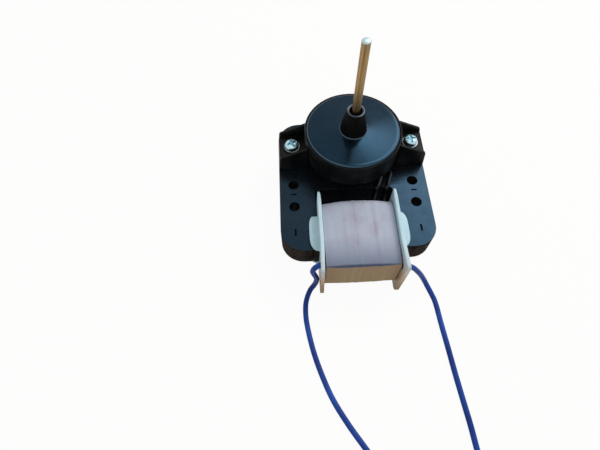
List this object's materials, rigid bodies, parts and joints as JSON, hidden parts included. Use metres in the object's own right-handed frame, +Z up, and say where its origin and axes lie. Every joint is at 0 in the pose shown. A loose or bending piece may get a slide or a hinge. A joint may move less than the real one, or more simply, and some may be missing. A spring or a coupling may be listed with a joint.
{
  "type": "shaded pole motor",
  "caption": "Small shaded pole motor: C-shaped lamination stack, bobbin coil with blue flying leads, shading rings, cage rotor, long shaft and screwed bearing housings.",
  "frame": {"origin": "on the shaft axis, at the flat underside of the lower bearing housing, on which the motor rests", "axes": "+Z up along the shaft to its free end, +Y from the coil towards the shaft, +X to the right seen from the coil's side"},
  "size_m": [0.0668, 0.1606, 0.0762],
  "materials": {
    "blackened_steel": "satin black coat over punched steel sheets",
    "copper": "bare copper wire",
    "white_nylon": "moulded, slightly translucent white",
    "white_tape": "matt wrapped tape",
    "enamelled_wire": "enamelled copper wire",
    "shaft_steel": "ground bright steel",
    "rotor_laminations": "turned steel sheets",
    "cast_aluminium": "die cast",
    "bronze": "sintered, oiled",
    "black_casting": "satin black",
    "black_cap": "satin black, finely turned",
    "oiled_felt": "pressed wool, oiled",
    "spring_steel": "bright",
    "zinc_plate": "bright zinc plate",
    "blue_sheath": "smooth insulation"
  },
  "bodies": {
    "stator": {"stator_core": "blackened_steel", "bridge_core": "blackened_steel", "shading_ring_front_a": "copper", "shading_ring_front_b": "copper", "shading_ring_back_a": "copper", "shading_ring_back_b": "copper", "bobbin": "white_nylon", "coil_tape": "white_tape", "coil_winding": "enamelled_wire", "upper_bearing_housing": "black_casting", "lower_bearing_housing": "black_casting", "oil_cap": "black_cap", "upper_bearing": "bronze", "lower_bearing": "bronze", "oil_felt": "oiled_felt", "bearing_retainer": "spring_steel", "screw_left": "zinc_plate", "screw_right": "zinc_plate", "nut_left": "zinc_plate", "nut_right": "zinc_plate", "washer_left": "zinc_plate", "washer_right": "zinc_plate", "lead_left": "blue_sheath", "lead_left_coil": "blue_sheath", "lead_right": "blue_sheath", "lead_right_coil": "blue_sheath"},
    "rotor": {"shaft": "shaft_steel", "rotor_core": "rotor_laminations", "rotor_cage": "cast_aluminium", "upper_thrust_washer": "bronze", "lower_thrust_washer": "bronze"}
  },
  "joints": [
    {"name": "rotor_spin", "type": "hinge", "parent": "stator", "child": "rotor", "pos_m": [0, 0, 0.01315], "axis": [0, 0, 1], "continuous": true}
  ]
}
